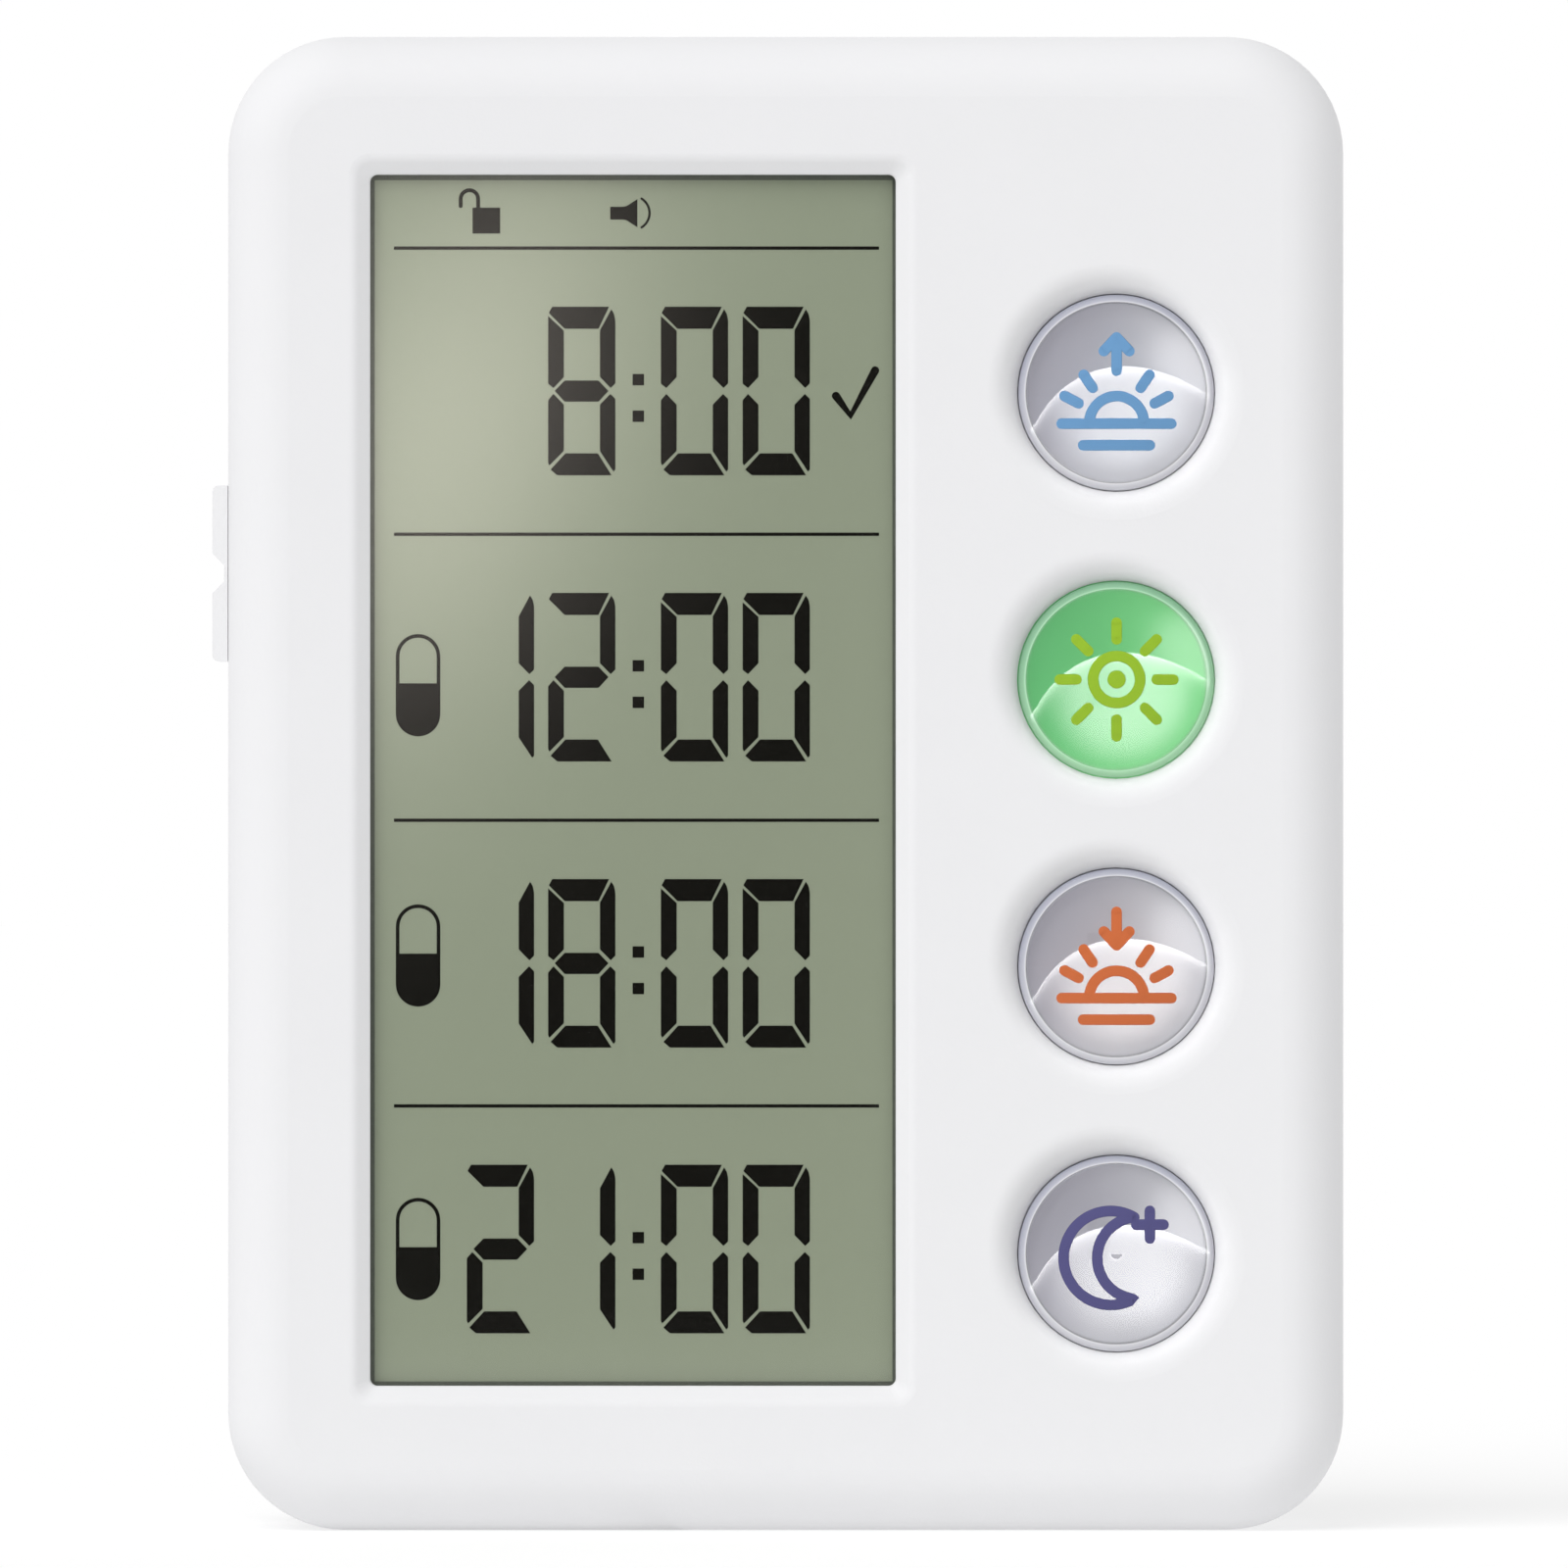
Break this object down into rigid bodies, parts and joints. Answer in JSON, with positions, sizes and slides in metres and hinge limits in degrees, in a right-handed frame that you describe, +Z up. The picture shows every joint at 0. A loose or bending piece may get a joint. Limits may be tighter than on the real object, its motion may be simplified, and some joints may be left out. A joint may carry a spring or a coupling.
{
  "type": "medication reminder timer",
  "caption": "Upright white timer with a tall LCD listing dose times beside a column of clear domed buttons, with a lock slider, folding stand and battery door.",
  "frame": {"origin": "bottom centre of the casing, on the flat it stands on and on the plane where its halves part", "axes": "+X to the right as the display is read, +Z up, and the display faces -Y"},
  "size_m": [0.0913, 0.0264, 0.1205],
  "materials": {
    "white_casing": "satin white ABS",
    "clear_window": "clear acrylic sheet",
    "lcd_glass": "display glass with a polariser",
    "lcd_reflector": "grey-green reflective film",
    "black_frame": "black moulded plastic",
    "grey_rubber": "layered conductive rubber",
    "green_board": "green solder mask",
    "steel": "zinc plated steel",
    "bright_steel": "nickel plate",
    "black_chip": "moulded epoxy",
    "black_switch": "moulded plastic",
    "white_led": "clear resin over a die",
    "brass": "plain brass sheet",
    "ceramic_coat": "silvered ceramic",
    "red_lead": "insulated wire",
    "cell_label": "plain printed sleeve",
    "clear_cap": "clear polished acrylic",
    "white_diffuser": "milky plastic",
    "lit_diffuser": "milky plastic, lit green from behind",
    "switch_stem": "natural nylon",
    "grey_slider": "light grey ABS",
    "grey_button": "grey ABS"
  },
  "bodies": {
    "casing": {"front_casing": "white_casing", "rear_casing": "white_casing", "lcd_window": "clear_window", "lcd_glass": "lcd_glass", "lcd_reflector": "lcd_reflector", "lcd_frame": "black_frame", "zebra_strips": "grey_rubber", "circuit_board": "green_board", "board_screws": "steel", "case_screws": "steel", "controller_chip": "black_chip", "crystal_can": "steel", "button_switches": "black_switch", "button_leds": "white_led", "rear_switches": "black_switch", "lock_switch_body": "steel", "piezo_disc": "brass", "piezo_ceramic": "ceramic_coat", "piezo_leads": "red_lead", "magnets": "bright_steel", "battery_1": "cell_label", "battery_2": "cell_label", "battery_springs": "bright_steel", "battery_contacts": "bright_steel"},
    "morning_button": {"morning_cap": "clear_cap", "morning_diffuser": "white_diffuser", "morning_switch_stem": "switch_stem"},
    "noon_button": {"noon_cap": "clear_cap", "noon_diffuser": "lit_diffuser", "noon_switch_stem": "switch_stem"},
    "evening_button": {"evening_cap": "clear_cap", "evening_diffuser": "white_diffuser", "evening_switch_stem": "switch_stem"},
    "bedtime_button": {"bedtime_cap": "clear_cap", "bedtime_diffuser": "white_diffuser", "bedtime_switch_stem": "switch_stem"},
    "lock_slider": {"lock_slider": "grey_slider", "lock_switch_knob": "black_switch"},
    "stand": {"stand": "white_casing"},
    "battery_door": {"battery_door": "white_casing"},
    "back_key": {"back_button": "grey_button", "back_switch_stem": "switch_stem"},
    "set_key": {"set_button": "grey_button", "set_switch_stem": "switch_stem"},
    "forward_key": {"forward_button": "grey_button", "forward_switch_stem": "switch_stem"}
  },
  "joints": [
    {"name": "morning_press", "type": "slide", "parent": "casing", "child": "morning_button", "axis": [0, 1, 0], "range_m": [0, 0.0008], "stiffness_N_per_m": 800, "springref_m": -0.0005},
    {"name": "noon_press", "type": "slide", "parent": "casing", "child": "noon_button", "axis": [0, 1, 0], "range_m": [0, 0.0008], "stiffness_N_per_m": 800, "springref_m": -0.0005},
    {"name": "evening_press", "type": "slide", "parent": "casing", "child": "evening_button", "axis": [0, 1, 0], "range_m": [0, 0.0008], "stiffness_N_per_m": 800, "springref_m": -0.0005},
    {"name": "bedtime_press", "type": "slide", "parent": "casing", "child": "bedtime_button", "axis": [0, 1, 0], "range_m": [0, 0.0008], "stiffness_N_per_m": 800, "springref_m": -0.0005},
    {"name": "lock_slide", "type": "slide", "parent": "casing", "child": "lock_slider", "axis": [0, 0, -1], "range_m": [0, 0.003]},
    {"name": "stand_hinge", "type": "hinge", "parent": "casing", "child": "stand", "pos_m": [0, 0.0112, 0.0496], "axis": [1, 0, 0], "range_deg": [0, 42]},
    {"name": "battery_door_hinge", "type": "hinge", "parent": "casing", "child": "battery_door", "pos_m": [0, 0.0125, 0.05717], "axis": [-1, 0, 0], "range_deg": [0, 80]},
    {"name": "back_press", "type": "slide", "parent": "casing", "child": "back_key", "axis": [0, -1, 0], "range_m": [0, 0.0006], "stiffness_N_per_m": 800, "springref_m": -0.0005},
    {"name": "set_press", "type": "slide", "parent": "casing", "child": "set_key", "axis": [0, -1, 0], "range_m": [0, 0.0006], "stiffness_N_per_m": 800, "springref_m": -0.0005},
    {"name": "forward_press", "type": "slide", "parent": "casing", "child": "forward_key", "axis": [0, -1, 0], "range_m": [0, 0.0006], "stiffness_N_per_m": 800, "springref_m": -0.0005}
  ]
}
